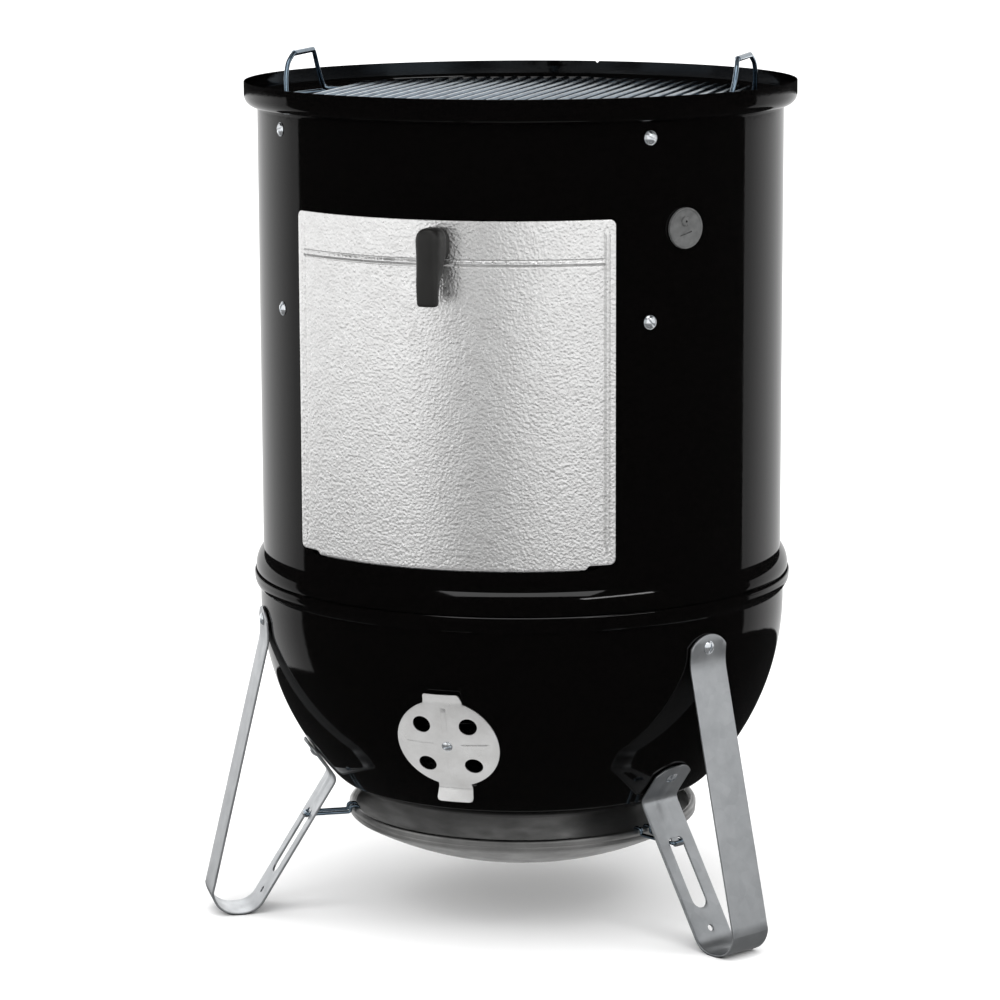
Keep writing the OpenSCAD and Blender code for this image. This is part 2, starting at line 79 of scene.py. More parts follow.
def sind(a):
    return math.sin(math.radians(a))


def put(point):
    """A point of the smoker's frame, in the row frame."""
    return Vector((point[0], point[1] + AXIS_Y, point[2])) / 1000


def round_about(azimuth, r, z, across=0.0):
    """The point at distance r from the axis, moved sideways by across."""
    x = r * sind(azimuth) + across * cosd(azimuth)
    y = across * sind(azimuth) - r * cosd(azimuth)
    return Vector((x, y, z))


def on_bowl(azimuth, dip):
    """A frame with +Z out of the bowl, +X down it and its origin at the round part's centre."""
    out = Vector((cosd(dip) * sind(azimuth), -cosd(dip) * cosd(azimuth), -sind(dip)))
    down = Vector((-sind(dip) * sind(azimuth), sind(dip) * cosd(azimuth), -cosd(dip)))
    return frame_matrix(Vector((0, 0, BOWL_Z)), down, out)


def on_barrel(azimuth, z):
    """A frame with +Z out of the barrel, +X down it and its origin on the axis."""
    return frame_matrix(Vector((0, 0, z)), Vector((0, 0, -1)), Vector((sind(azimuth), -cosd(azimuth), 0)))


def frame_matrix(origin, x, z):
    y = z.cross(x)
    return Matrix(((x.x, y.x, z.x, origin.x), (x.y, y.y, z.y, origin.y),
                   (x.z, y.z, z.z, origin.z), (0, 0, 0, 1)))


def arc(centre, r, a0, a1, steps):
    turn = [a0 + (a1 - a0) * i / steps for i in range(steps + 1)]
    return [(centre[0] + r * cosd(a), centre[1] + r * sind(a)) for a in turn]


def offset(path, distance):
    """The path moved to its left by distance, with mitred corners."""
    moved = []
    for i, p in enumerate(path):
        before = Vector(p) - Vector(path[i - 1]) if i else Vector(path[1]) - Vector(p)
        after = Vector(path[i + 1]) - Vector(p) if i < len(path) - 1 else before
        before.normalize()
        after.normalize()
        mid = (before + after).normalized()
        left = Vector((-mid.y, mid.x)) / max(mid.dot(after), 0.3)
        moved.append((p[0] + left.x * distance, p[1] + left.y * distance))
    return moved


def sheet(path, thickness, edge=0.35):
    """The closed outline of a bent sheet with softened edges."""
    h = thickness / 2
    start, end = offset(path, h), offset(path, -h)
    outline = start + end[::-1]
    n = len(path)
    return soften(outline, (n - 1, n, 2 * n - 1, 0), min(edge, h * 0.8))


def soften(outline, corners, size):
    """The outline with the given corners cut back."""
    result = []
    for i, p in enumerate(outline):
        if i not in corners:
            result.append(p)
            continue
        here = Vector(p)
        for other in (Vector(outline[i - 1]), Vector(outline[(i + 1) % len(outline)])):
            result.append(tuple(here + (other - here).normalized() * size))
    return result


def rounded(points, r, steps=6):
    """A path of straight lines with its corners rounded."""
    points = [Vector(p) for p in points]
    result = [points[0]]
    for a, b, c in zip(points, points[1:], points[2:]):
        reach = min(r, (a - b).length * 0.49, (c - b).length * 0.49)
        start, end = b + (a - b).normalized() * reach, b + (c - b).normalized() * reach
        for i in range(steps + 1):
            t = i / steps
            result.append(start * (1 - t) ** 2 + b * 2 * t * (1 - t) + end * t * t)
    return result + [points[-1]]


def revolve(bm, outline, steps, a0=0.0, a1=360.0, to_frame=None):
    """Turns a closed outline of (r, z) about the axis, or about to_frame's Z."""
    closed = abs(a1 - a0) >= 360
    count = steps if closed else steps + 1
    rings = []
    for i in range(count):
        a = a0 + (a1 - a0) * i / steps
        ring = []
        for r, z in outline:
            point = round_about(a, r, z)
            ring.append(bm.verts.new(to_frame @ point if to_frame else point))
        rings.append(ring)
    n = len(outline)
    for i in range(steps):
        here, there = rings[i], rings[(i + 1) % count]
        for j in range(n):
            k = (j + 1) % n
            if max(outline[j][0], outline[k][0]) > 1e-6:
                bm.faces.new((here[j], there[j], there[k], here[k]))
    if not closed:
        bm.faces.new(rings[0])
        bm.faces.new(rings[-1][::-1])


def tube(bm, points, radius, sides=14, closed=False):
    """A round wire along points."""
    points = [Vector(p) for p in points]
    n = len(points)
    side = None
    rings = []
    for i, p in enumerate(points):
        ahead = points[(i + 1) % n] if closed or i < n - 1 else p
        behind = points[i - 1] if closed or i else p
        along = (ahead - behind).normalized()
        if side is None:
            side = along.orthogonal().normalized()
        side = (side - along * side.dot(along)).normalized()
        other = along.cross(side)
        ring = []
        for j in range(sides):
            a = 360 * j / sides
            ring.append(bm.verts.new(p + (side * cosd(a) + other * sind(a)) * radius))
        rings.append(ring)
    for i in range(n if closed else n - 1):
        here, there = rings[i], rings[(i + 1) % n]
        for j in range(sides):
            k = (j + 1) % sides
            bm.faces.new((here[j], here[k], there[k], there[j]))
    if not closed:
        bm.faces.new(rings[0][::-1])
        bm.faces.new(rings[-1])


def flat_plate(outline, holes, thickness, edge, lines_x=(), lines_y=()):
    """A flat XY plate with holes and rounded edges, cut along the given lines so that it can be bent."""
    curve = bpy.data.curves.new("plate", "CURVE")
    curve.dimensions = "2D"
    curve.fill_mode = "BOTH"
    curve.extrude = thickness / 2 - edge
    curve.bevel_depth = edge
    curve.bevel_resolution = 1
    curve.offset = -edge
    for loop in [outline, *holes]:
        spline = curve.splines.new("POLY")
        spline.points.add(len(loop) - 1)
        for point, (x, y) in zip(spline.points, loop):
            point.co = (x, y, 0, 1)
        spline.use_cyclic_u = True
    holder = bpy.data.objects.new("plate", curve)
    bpy.context.scene.collection.objects.link(holder)
    bpy.context.view_layer.update()
    bm = bmesh.new()
    bm.from_mesh(holder.to_mesh())
    holder.to_mesh_clear()
    bpy.data.objects.remove(holder)
    bmesh.ops.remove_doubles(bm, verts=bm.verts, dist=1e-4)
    for axis, lines in ((Vector((1, 0, 0)), lines_x), (Vector((0, 1, 0)), lines_y)):
        for at in lines:
            everything = bm.verts[:] + bm.edges[:] + bm.faces[:]
            bmesh.ops.bisect_plane(bm, geom=everything, plane_co=axis * at, plane_no=axis)
    return bm


def box_mesh(bm, centre, size, matrix):
    """A box in the matrix's frame, used only as a cutter."""
    made = bmesh.ops.create_cube(bm, size=1)
    local = Matrix.Translation(Vector(centre)) @ Matrix.Diagonal((*size, 1))
    bmesh.ops.transform(bm, matrix=matrix @ local, verts=made["verts"])


def rod_mesh(bm, matrix, r, z0, z1, sides=48):
    """A round bar along the matrix's Z, used only as a cutter."""
    outline = [(0, z0), (r, z0), (r, z1), (0, z1)]
    revolve(bm, outline, sides, to_frame=matrix)


def piece(name, bm, body, material, replaces, cutter=None, crease=32.0, normals=None,
          overlapping=False):
    """Makes the finished object: welded, cut, smoothed and riding on its body."""
    obj = to_object(name, bm)
    if cutter is not None:
        cut(obj, to_object(name + "_cutter", cutter), overlapping)
    mesh = obj.data
    mesh.polygons.foreach_set("use_smooth", [True] * len(mesh.polygons))
    mesh.set_sharp_from_angle(angle=math.radians(crease))
    if normals:
        true_normals(mesh, normals)
    dress(obj, material)
    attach(obj, body)
    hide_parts(*replaces)


def dress(obj, material):
    """One material for the whole piece. All but enamel is also lit by the wide panels."""
    obj.data.materials.clear()
    obj.data.materials.append(material)
    if not material.name.startswith("enamel"):
        NOT_ENAMEL.objects.link(obj)
    if "aluminium" in material.name:
        ALUMINIUM.objects.link(obj)


def to_object(name, bm):
    """The mesh as an object, with doubled points welded and its faces turned outwards."""
    bmesh.ops.remove_doubles(bm, verts=bm.verts, dist=1e-3)
    bmesh.ops.recalc_face_normals(bm, faces=bm.faces)
    for v in bm.verts:
        v.co = put(v.co)
    mesh = bpy.data.meshes.new(name)
    bm.to_mesh(mesh)
    bm.free()
    obj = bpy.data.objects.new(name, mesh)
    bpy.context.scene.collection.objects.link(obj)
    return obj


def cut(obj, cutter, overlapping):
    """Takes the cutter out of the object for good. Overlapping shells of the object are joined first."""
    modifier = obj.modifiers.new("cut", "BOOLEAN")
    modifier.operation = "DIFFERENCE"
    modifier.solver = "EXACT"
    modifier.use_self = overlapping
    modifier.object = cutter
    bpy.context.view_layer.update()
    done = bpy.data.meshes.new_from_object(obj.evaluated_get(bpy.context.evaluated_depsgraph_get()))
    obj.modifiers.clear()
    obj.data = done
    bpy.data.objects.remove(cutter)


def true_normals(mesh, normal_at):
    """Gives corners the exact normal where normal_at knows it, so that a cut sheet shades as one curve."""
    given = []
    for face in mesh.polygons:
        for i in face.loop_indices:
            at = mesh.vertices[mesh.loops[i].vertex_index].co * 1000
            point = Vector((at.x, at.y - AXIS_Y, at.z))
            known = normal_at(point, face.normal)
            given.append(known if known else (0, 0, 0))
    mesh.normals_split_custom_set(given)


def barrel_normal(point, flat):
    """Exact on the barrel's straight wall."""
    out = Vector((point.x, point.y, 0)).normalized()
    if 392.5 < point.z < 866 and abs(flat.dot(out)) > 0.98:
        return out if flat.dot(out) > 0 else -out
    return None


def bowl_normal(point, flat):
    """Exact on the bowl's round part."""
    out = Vector((point.x, point.y, point.z - BOWL_Z)).normalized()
    if -0.66 < out.z < 0 and abs(flat.dot(out)) > 0.98:
        return out if flat.dot(out) > 0 else -out
    return None


# ---------------------------------------------------------------- materials

class Nodes:
    """A material's node tree, built a node at a time."""

    def __init__(self, name):
        self.material = bpy.data.materials.new(name)
        self.material.use_nodes = True
        self.tree = self.material.node_tree
        self.shader = self.tree.nodes["Principled BSDF"]
        self.place = self.add("ShaderNodeTexCoord").outputs["Object"]

    def add(self, kind, **values):
        node = self.tree.nodes.new(kind)
        for key, value in values.items():
            if hasattr(node, key):
                setattr(node, key, value)
            else:
                node.inputs[key.replace("_", " ")].default_value = value
        return node

    def link(self, out, into):
        self.tree.links.new(out, into)

    def set(self, **values):
        for key, value in values.items():
            self.shader.inputs[key.replace("_", " ")].default_value = value

    def stretched(self, scale):
        node = self.add("ShaderNodeMapping")
        node.inputs["Scale"].default_value = scale
        self.link(self.place, node.inputs["Vector"])
        return node.outputs["Vector"]

    def noise(self, scale, detail=3.0, roughness=0.5, where=None):
        node = self.add("ShaderNodeTexNoise", Scale=scale, Detail=detail, Roughness=roughness)
        self.link(where or self.place, node.inputs["Vector"])
        return node.outputs["Fac"]

    def cells(self, scale, feature="F1", output="Distance"):
        node = self.add("ShaderNodeTexVoronoi", feature=feature)
        node.inputs["Scale"].default_value = scale
        self.link(self.place, node.inputs["Vector"])
        return node.outputs[output]

    def between(self, fac, low, high, start=0.0, end=1.0):
        """Maps fac from start..end to low..high; colours or numbers."""
        if isinstance(low, tuple):
            node = self.add("ShaderNodeValToRGB")
            node.color_ramp.elements[0].position = start
            node.color_ramp.elements[1].position = end
            node.color_ramp.elements[0].color = (*low, 1)
            node.color_ramp.elements[1].color = (*high, 1)
            self.link(fac, node.inputs["Fac"])
            return node.outputs["Color"]
        node = self.add("ShaderNodeMapRange", clamp=True)
        for key, value in (("From Min", start), ("From Max", end), ("To Min", low), ("To Max", high)):
            node.inputs[key].default_value = value
        self.link(fac, node.inputs["Value"])
        return node.outputs["Result"]

    def mixed(self, a, b, share):
        """Two colours mixed; share is how much of b."""
        node = self.add("ShaderNodeMix", data_type="RGBA")
        node.inputs[0].default_value = share
        self.link(a, node.inputs[6])
        self.link(b, node.inputs[7])
        return node.outputs[2]

    def sum(self, a, b, share):
        """Share times a, plus b."""
        node = self.add("ShaderNodeMath", operation="MULTIPLY_ADD")
        self.link(a, node.inputs[0])
        node.inputs[1].default_value = share
        self.link(b, node.inputs[2])
        return node.outputs[0]

    def bump(self, height, strength, distance=0.001):
        node = self.add("ShaderNodeBump", Strength=strength, Distance=distance)
        self.link(height, node.inputs["Height"])
        self.link(node.outputs["Normal"], self.shader.inputs["Normal"])

    def colour(self, out):
        self.link(out, self.shader.inputs["Base Color"])

    def rough(self, out):
        self.link(out, self.shader.inputs["Roughness"])


def enamel():
    """Black porcelain enamel: a hard gloss over tiny specks and a faint orange peel."""
    m = Nodes("enamel")
    specks = m.cells(900, output="Color")
    m.colour(m.between(specks, (0.0004, 0.0003, 0.0003), (0.0018, 0.0016, 0.0015), 0.2, 0.95))
    m.rough(m.between(m.noise(14, 4), 0.035, 0.085, 0.3, 0.7))
    m.bump(m.noise(260, 2), 0.05, 0.0004)
    m.set(IOR=1.5, Coat_Weight=0.0)
    return m.material


def stucco_aluminium():
    """Bright rolled sheet with a fine embossed pebble grain."""
    m = Nodes("stucco_aluminium")
    pebbles = m.cells(330, feature="SMOOTH_F1")
    waves = m.noise(420, 2, 0.5)
    m.bump(m.sum(pebbles, waves, 0.9), 0.42, 0.0010)
    m.colour(m.between(m.noise(60, 5, 0.6), (0.82, 0.815, 0.81), (0.92, 0.92, 0.915), 0.3, 0.75))
    m.rough(m.between(m.noise(220, 3), 0.26, 0.38, 0.3, 0.7))
    m.set(Metallic=1.0)
    return m.material


def smooth_aluminium():
    """Stamped sheet with a fine grain and a few dull patches."""
    m = Nodes("smooth_aluminium")
    grain = m.noise(520, 3, 0.6, m.stretched((1, 1, 2)))
    m.colour(m.between(m.noise(45, 5, 0.65), (0.74, 0.735, 0.725), (0.86, 0.86, 0.855), 0.3, 0.7))
    m.rough(m.between(m.noise(35, 4), 0.26, 0.44, 0.3, 0.7))
    m.bump(grain, 0.32, 0.0006)
    m.set(Metallic=1.0)
    return m.material


def spun_aluminium():
    """The heat shield: dull drawn sheet with fine lines round the axis. Its colour is far darker than bare
    aluminium, as painted shade and a painted dark reflection of the black bowl above it.
    """
    m = Nodes("spun_aluminium")
    # Painted shade and painted reflection: this dark colour stands in for the shade and the dark reflection
    # of the bowl over the dish.
    m.colour(m.between(m.noise(24, 5, 0.6), (0.17, 0.169, 0.166), (0.25, 0.249, 0.245), 0.3, 0.7))
    m.rough(m.between(m.noise(40, 4), 0.32, 0.48, 0.3, 0.7))
    m.bump(m.noise(90, 3, 0.5, m.stretched((1, 1, 22))), 0.16, 0.0005)
    m.set(Metallic=1.0)
    return m.material


def galvanised():
    """Galvanised strap: soft spangle and dull patches."""
    m = Nodes("galvanised")
    spangle = m.cells(75, output="Color")
    patches = m.noise(28, 5, 0.6)
    tone = m.between(patches, (0.36, 0.375, 0.39), (0.50, 0.515, 0.53), 0.3, 0.7)
    cell_tone = m.between(spangle, (0.40, 0.415, 0.43), (0.54, 0.555, 0.57), 0.0, 1.0)
    m.colour(m.mixed(tone, cell_tone, 0.35))
    m.rough(m.between(m.noise(55, 4), 0.30, 0.46, 0.3, 0.7))
    m.bump(m.noise(240, 3), 0.10, 0.0004)
    m.set(Metallic=1.0)
    return m.material


def zinc():
    """Bright zinc plate with a cold tint and small dull spots."""
    m = Nodes("zinc")
    m.colour(m.between(m.noise(260, 3), (0.66, 0.70, 0.74), (0.86, 0.88, 0.90), 0.3, 0.7))
    m.rough(m.between(m.noise(500, 3), 0.16, 0.30, 0.3, 0.7))
    m.bump(m.noise(900, 2), 0.08, 0.0002)
    m.set(Metallic=1.0)
    return m.material


def plated_wire():
    """Nickel-plated wire, drawn, with slight clouding."""
    m = Nodes("plated_wire")
    m.colour(m.between(m.noise(50, 4), (0.13, 0.18, 0.235), (0.25, 0.325, 0.39), 0.3, 0.7))
    m.rough(m.between(m.noise(300, 3), 0.12, 0.22, 0.3, 0.7))
    m.bump(m.noise(90, 2), 0.05, 0.0002)
    m.set(Metallic=1.0)
    return m.material


def plain_steel():
    """Bare mild steel with mill scale."""
    m = Nodes("plain_steel")
    m.colour(m.between(m.noise(40, 5, 0.65), (0.20, 0.20, 0.20), (0.42, 0.42, 0.42), 0.3, 0.7))
    m.rough(m.between(m.noise(90, 4), 0.36, 0.58, 0.3, 0.7))
    m.bump(m.noise(400, 3), 0.15, 0.0003)
    m.set(Metallic=1.0)
    return m.material


def black_nylon():
    """Moulded black nylon with a fine spark-eroded grain."""
    m = Nodes("black_nylon")
    m.colour(m.between(m.noise(30, 3), (0.0045, 0.0043, 0.0039), (0.0078, 0.0074, 0.0068), 0.3, 0.7))
    m.rough(m.between(m.noise(120, 3), 0.42, 0.54, 0.3, 0.7))
    m.bump(m.noise(1600, 2), 0.25, 0.00025)
    m.set(Specular_IOR_Level=0.32)
    return m.material


def silicone():
    """Grey silicone with a dusty, slightly mottled skin."""
    m = Nodes("silicone")
    m.colour(m.between(m.noise(160, 4), (0.043, 0.044, 0.044), (0.067, 0.068, 0.068), 0.3, 0.7))
    m.rough(m.between(m.noise(90, 3), 0.42, 0.58, 0.3, 0.7))
    m.bump(m.noise(1200, 2), 0.15, 0.0002)
    return m.material


def ground():
    """A plain pale studio floor."""
    m = Nodes("ground")
    m.colour(m.between(m.noise(3, 3), (0.955, 0.955, 0.955), (0.965, 0.965, 0.965), 0.3, 0.7))
    m.set(Roughness=0.9, Specular_IOR_Level=0.0)
    return m.material


# ---------------------------------------------------------------- camera and light

CAMERA_AZIMUTH = 17.3
CAMERA_DISTANCE = 4117.2
CAMERA_Z = 1183.15
CAMERA_PITCH = math.radians(10.267)
CAMERA_YAW = -0.0057
CAMERA_ROLL = -0.0039
LENS = 139.13


def make_camera():
    """The photograph's viewpoint: aimed by pitch, yaw and roll from a point beside the door."""
    forward = Vector((math.sin(CAMERA_YAW) * math.cos(CAMERA_PITCH),
                      math.cos(CAMERA_YAW) * math.cos(CAMERA_PITCH), -math.sin(CAMERA_PITCH)))
    right = Vector((math.cos(CAMERA_YAW), -math.sin(CAMERA_YAW), 0))
    up = right.cross(forward)
    right, up = (right * math.cos(CAMERA_ROLL) + up * math.sin(CAMERA_ROLL),
                 up * math.cos(CAMERA_ROLL) - right * math.sin(CAMERA_ROLL))
    turn = Matrix.Rotation(math.radians(CAMERA_AZIMUTH), 3, "Z")
    right, up, back = turn @ right, turn @ up, turn @ -forward
    data = bpy.data.cameras.new("camera")
    data.lens = LENS
    data.sensor_width = 36
    data.clip_end = 200
    camera = bpy.data.objects.new("camera", data)
    bpy.context.scene.collection.objects.link(camera)
    place = put(turn @ Vector((0, -CAMERA_DISTANCE, CAMERA_Z)))
    camera.matrix_world = Matrix(((right.x, up.x, back.x, place.x), (right.y, up.y, back.y, place.y),
                                  (right.z, up.z, back.z, place.z), (0, 0, 0, 1)))
    bpy.context.scene.camera = camera


def softbox(name, azimuth, distance, z, size, glow, aim_z=550, only=None):
    """A soft area light that looks at the smoker. Its azimuth is counted from the camera."""
    data = bpy.data.lights.new(name, "AREA")
    data.shape = "RECTANGLE"
    data.size, data.size_y = size
    data.energy = glow * math.pi * size[0] * size[1]
    light = bpy.data.objects.new(name, data)
    bpy.context.scene.collection.objects.link(light)
    place = put(round_about(CAMERA_AZIMUTH + azimuth, distance, z))
    light.location = place
    light.rotation_euler = (put((0, 0, aim_z)) - place).to_track_quat("-Z", "Y").to_euler()
    light.visible_camera = False
    if only:
        light.light_linking.receiver_collection = only


def make_floor():
    """A floor that reaches past the picture's edges and doesn't show in the gloss."""
    bm = bmesh.new()
    reach = 60
    corners = [bm.verts.new((x * reach, y * reach, 0)) for x, y in ((-1, -1), (1, -1), (1, 1), (-1, 1))]
    bm.faces.new(corners)
    mesh = bpy.data.meshes.new("floor")
    bm.to_mesh(mesh)
    bm.free()
    floor = bpy.data.objects.new("floor", mesh)
    bpy.context.scene.collection.objects.link(floor)
    mesh.materials.append(ground())
    floor.visible_glossy = False


BACKDROP_R = 3.2
BACKDROP_ENDS = (-72, 70.5)
BACKDROP_TOP = 0.625
LEFT_FOOT, RIGHT_FOOT = -1.1, -0.5

def make_backdrop():
    """A bright curved backdrop that shows only as the long reflections down the enamel's edges."""
    bm = bmesh.new()
    left, right = BACKDROP_ENDS
    steps = 40
    rings = []
    for i in range(steps + 1):
        a = left + (right - left) * i / steps
        foot = LEFT_FOOT + (RIGHT_FOOT - LEFT_FOOT) * min(1, 2 * i / steps)
        x, y = BACKDROP_R * sind(a), BACKDROP_R * cosd(a)
        rings.append([bm.verts.new((x, y, z)) for z in (foot, BACKDROP_TOP)])
    for here, there in zip(rings, rings[1:]):
        bm.faces.new((here[0], there[0], there[1], here[1]))
    mesh = bpy.data.meshes.new("backdrop")
    bm.to_mesh(mesh)
    bm.free()
    backdrop = bpy.data.objects.new("backdrop", mesh)
    bpy.context.scene.collection.objects.link(backdrop)
    backdrop.location = put((0, 0, 0))
    backdrop.rotation_euler = (0, 0, math.radians(CAMERA_AZIMUTH))
    mesh.materials.append(backdrop_glow())
    backdrop.visible_camera = False
    backdrop.visible_diffuse = False
    backdrop.visible_shadow = False


def backdrop_glow():
    """Brightest straight behind the smoker, and dimmer towards the backdrop's ends."""
    m = Nodes("backdrop_glow")
    split = m.add("ShaderNodeSeparateXYZ")
    m.link(m.place, split.inputs["Vector"])
    fall = m.between(split.outputs["Y"], 0.33, 0.85, 1.25, 3.1)
    m.tree.nodes.remove(m.shader)
    glow = m.add("ShaderNodeEmission")
    m.link(fall, glow.inputs["Strength"])
    m.link(glow.outputs["Emission"], m.tree.nodes["Material Output"].inputs["Surface"])
    return m.material


ROOM_GLOW = 1.55
ROOM_IN_MIRRORS = 0.018

def make_world():
    """White to the camera, nearly dark in reflections."""
    world = bpy.data.worlds.new("studio")
    bpy.context.scene.world = world
    world.use_nodes = True
    tree = world.node_tree
    back = tree.nodes["Background"]
    back.inputs["Color"].default_value = (1, 1, 1, 1)
    path = tree.nodes.new("ShaderNodeLightPath")
    level = tree.nodes.new("ShaderNodeMapRange")
    level.inputs["To Min"].default_value = ROOM_GLOW
    level.inputs["To Max"].default_value = ROOM_IN_MIRRORS
    tree.links.new(path.outputs["Is Glossy Ray"], level.inputs["Value"])
    tree.links.new(level.outputs["Result"], back.inputs["Strength"])


# Azimuth from the camera, width in metres and brightness. The dim one puts the shaded band on the door.
WIDE_PANELS = (
    (-160, 2.1, 0.80), (-117, 2.1, 0.90), (-74.5, 2.1, 1.05), (-42.5, 1.0, 1.15), (-18, 1.35, 0.52),
    (17.5, 2.1, 1.05), (60, 2.1, 0.95), (102.5, 2.1, 0.85), (145, 2.1, 0.80), (187.5, 2.1, 0.80),
)


def make_light():
    """Two high lights for everything; wide panels for all but the enamel."""
    make_world()
    make_floor()
    make_backdrop()
    softbox("top", 0, 900, 3200, (2.6, 2.0), 1.6)
    softbox("high_strip", 46, 2600, 2500, (1.7, 0.25), 5.0, 600)
    for azimuth, width, glow in WIDE_PANELS:
        softbox("panel", azimuth, 2700, 1200, (width, 2.4), glow, 1200, NOT_ENAMEL)
    softbox("near_bounce", 0, 1, 4, (1.2, 1.2), 0.45, 500, ALUMINIUM)
    softbox("bounce", 0, 1, 3, (6, 6), 0.2, 500, NOT_ENAMEL)
    softbox("overhead", 0, 1, 3000, (3, 3), 0.22, 500, NOT_ENAMEL)
    bpy.context.scene.view_settings.view_transform = "Standard"


# ---------------------------------------------------------------- barrel and door

OPENING_W = 315
OPENING_Z = (413.2, 757)
GROMMET = (53.5, 757)
GROMMET_R = 21


def make_barrel(material):
    """Cup, straight wall, doorway, flare and the tail that drops into the bowl."""
    h = SHEET / 2
    wall = BARREL_R - h
    cup_bend, flare_r, flare_z = 12, 29, 372
    flare_x = BARREL_R + FLARE_OUT - flare_r
    start = math.degrees(math.acos((wall - flare_x) / (flare_r - h)))
    path = [(CUP_R - h, RIM_Z), (CUP_R - h, RIM_Z - 3)]
    ledge_z = RIM_Z - CUP_DEPTH
    path += arc((CUP_R - cup_bend, ledge_z + cup_bend), cup_bend - h, 0, -84, 12)
    path += [(BARREL_R + 1.5, ledge_z + h), (BARREL_R - 0.3, ledge_z - 0.3), (wall, ledge_z - 2.5)]
    path += [(wall, z) for z in (850, 800, 775, 765, 740, 600, 430, 404, 396)]
    path += arc((flare_x, flare_z), flare_r - h, start, 4, 12)
    tip = BARREL_R + FLARE_OUT
    path += [(tip - h, flare_z - 1.2), (tip - 1, flare_z - 2.4), (tip - 3, flare_z - 2.5)]
    path += [(278.3, flare_z - 2.5), (276.9, flare_z - 3.1), (276.55, flare_z - 4.6), (276.55, 350)]
    bm = bmesh.new()
    revolve(bm, sheet(path, SHEET), 288)

    holes = bmesh.new()
    z0, z1 = OPENING_Z
    doorway = rounded_box(OPENING_W, z1 - z0, 10)
    low_ring = [holes.verts.new((x, -180, (z0 + z1) / 2 + z)) for x, z in doorway]
    high_ring = [holes.verts.new((x, -330, (z0 + z1) / 2 + z)) for x, z in doorway]
    for i in range(len(doorway)):
        k = (i + 1) % len(doorway)
        holes.faces.new((low_ring[i], low_ring[k], high_ring[k], high_ring[i]))
    holes.faces.new(low_ring)
    holes.faces.new(high_ring[::-1])
    rod_mesh(holes, on_barrel(*GROMMET), GROMMET_R - 5, 260, 300)
    notch = Matrix.Translation((0, CUP_R - 1, RIM_Z)) @ Matrix.Rotation(math.radians(45), 4, "Y")
    box_mesh(holes, (0, 0, 0), (3.6, 14, 3.6), notch)
    piece("barrel_shell", bm, "middle", material, ["barrel"], holes, normals=barrel_normal)


def rounded_box(w, h, r, steps=8):
    """The outline of a rounded rectangle about the origin."""
    outline = []
    for (sx, sy), a in (((1, 1), 0), ((-1, 1), 90), ((-1, -1), 180), ((1, -1), 270)):
        outline += arc((sx * (w / 2 - r), sy * (h / 2 - r)), r, a, a + 90, steps)
    return outline


def bell(x, half):
    """1 at x = 0, falling smoothly to 0 at half."""
    return 0.5 + 0.5 * math.cos(math.pi * min(abs(x) / half, 1))


CREASE_Z = 727
SIDE_CREASE_U = 171.5
SIDE_CREASE_Z = (432, 759)

def door_relief(u, z):
    """How far the door's creases stand out of its sheet at arc length u from its middle."""
    out = 0.0
    reach = SIDE_CREASE_U - 0.5
    if abs(u) < reach:
        out += bead(z - CREASE_Z, 1.9) * min(1, (reach - abs(u)) / 3)
    start, end = SIDE_CREASE_Z
    for side in (-1, 1):
        off = u - side * SIDE_CREASE_U
        if start < z < end:
            out += bead(off, 1.5) * min(1, (z - start) / 5, (end - z) / 5)
        out -= 0.5 * bell(math.hypot(off, z - end - 2), 2.2)
    return out


def bead(d, half):
    """A narrow raised bead with a fine groove on each side."""
    return 0.8 * bell(d, half + 0.4) - 0.7 * bell(abs(d) - half - 1.3, 1.2)


